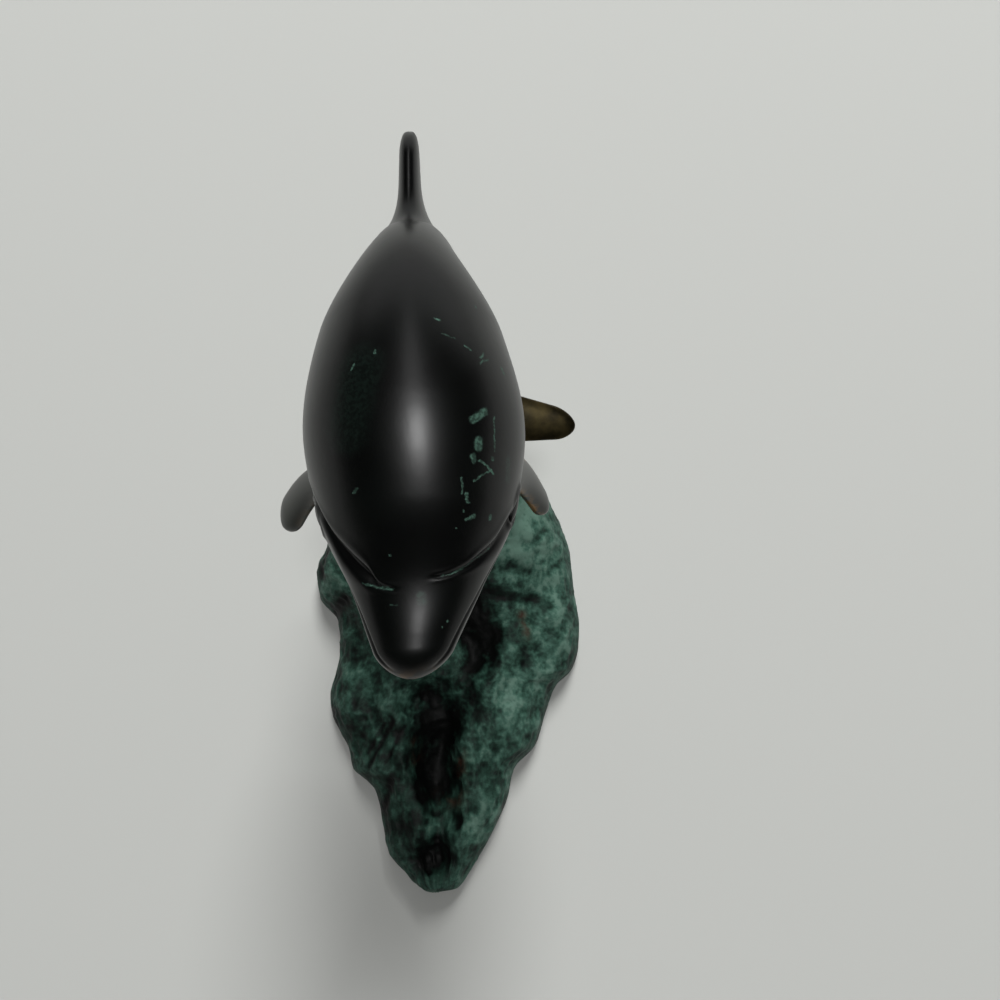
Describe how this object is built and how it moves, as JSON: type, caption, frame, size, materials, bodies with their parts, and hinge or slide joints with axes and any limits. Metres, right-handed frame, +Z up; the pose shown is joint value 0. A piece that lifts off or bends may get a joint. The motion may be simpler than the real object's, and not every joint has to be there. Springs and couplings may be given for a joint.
{
  "type": "dolphin figurine",
  "caption": "Small cast bronze dolphin curling down tail first on to the crest of a verdigris wave base, for a desk or shelf.",
  "frame": {"origin": "middle of the casting's box, on the ground plane that the base stands on", "axes": "+Z up, +Y from the snout to the tail, +X to the right as seen from the snout looking along +Y"},
  "size_m": [0.0782, 0.163, 0.1389],
  "materials": {
    "dark_bronze": "cast bronze under a satin near-black patina, rubbed to gold-brown at the snout's tip and on the flukes",
    "verdigris": "rough cast bronze under mottled green verdigris, dark brown in its hollows"
  },
  "bodies": {
    "root": {"dolphin_on_wave": "dark_bronze"}
  },
  "joints": []
}
